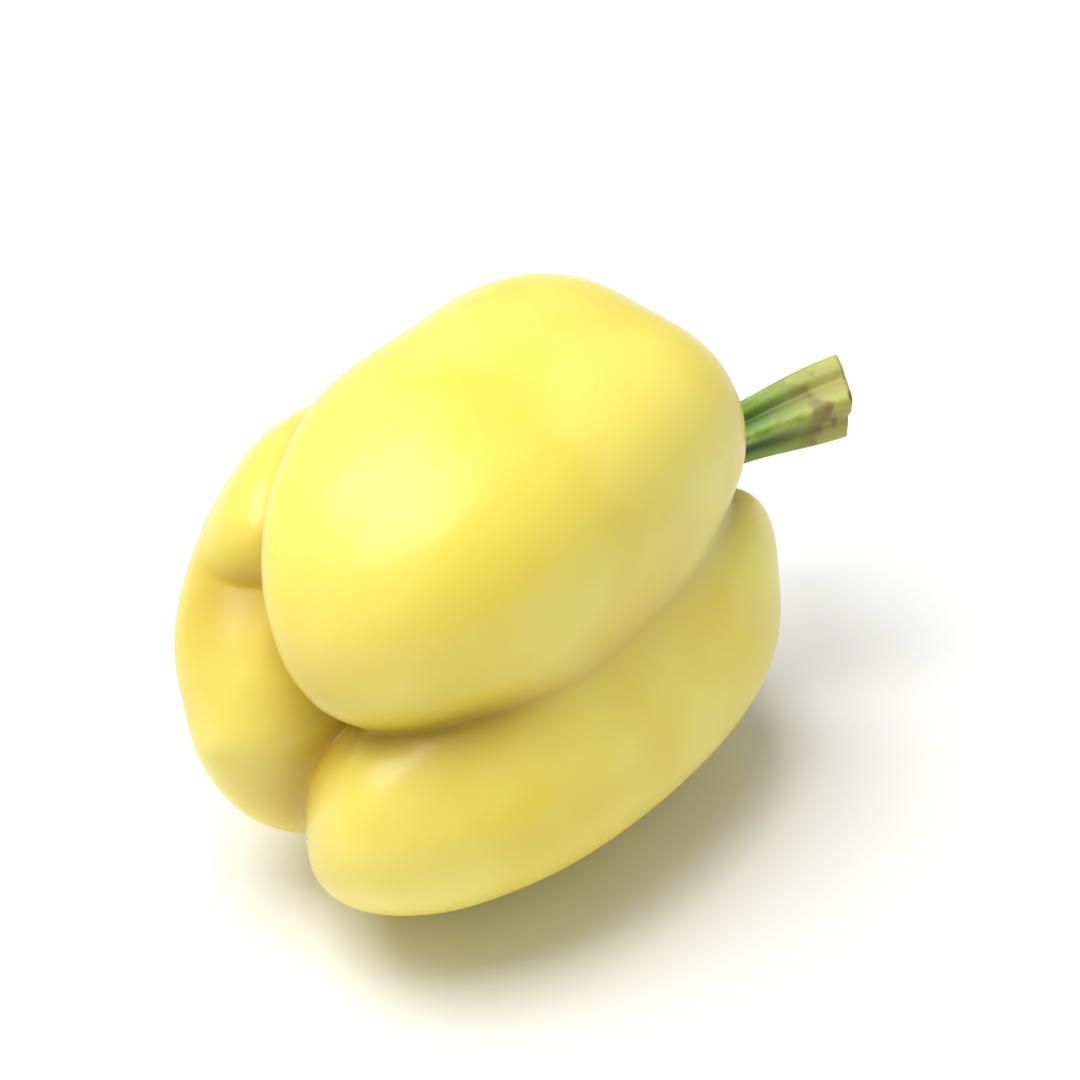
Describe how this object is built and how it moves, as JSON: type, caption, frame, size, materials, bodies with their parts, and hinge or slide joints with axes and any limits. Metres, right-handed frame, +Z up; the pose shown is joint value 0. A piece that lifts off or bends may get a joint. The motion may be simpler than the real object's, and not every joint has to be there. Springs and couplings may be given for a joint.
{
  "type": "bell pepper",
  "caption": "Picked yellow bell pepper lying on its side, with deep grooves between its lobes, a green calyx in the stem cavity and a ribbed, cut stalk.",
  "frame": {"origin": "on the surface that the fruit lies on, under the middle of the part's box", "axes": "+X along the fruit from its blossom end to its stalk, +Z up from the surface it lies on"},
  "size_m": [0.1398, 0.0816, 0.0917],
  "materials": {
    "fruit_skin": "waxy, soft gloss",
    "calyx_green": "satin",
    "stalk_green": "satin, fibrous cut end"
  },
  "bodies": {
    "root": {"fruit": "fruit_skin", "calyx": "calyx_green", "stalk": "stalk_green"}
  },
  "joints": []
}
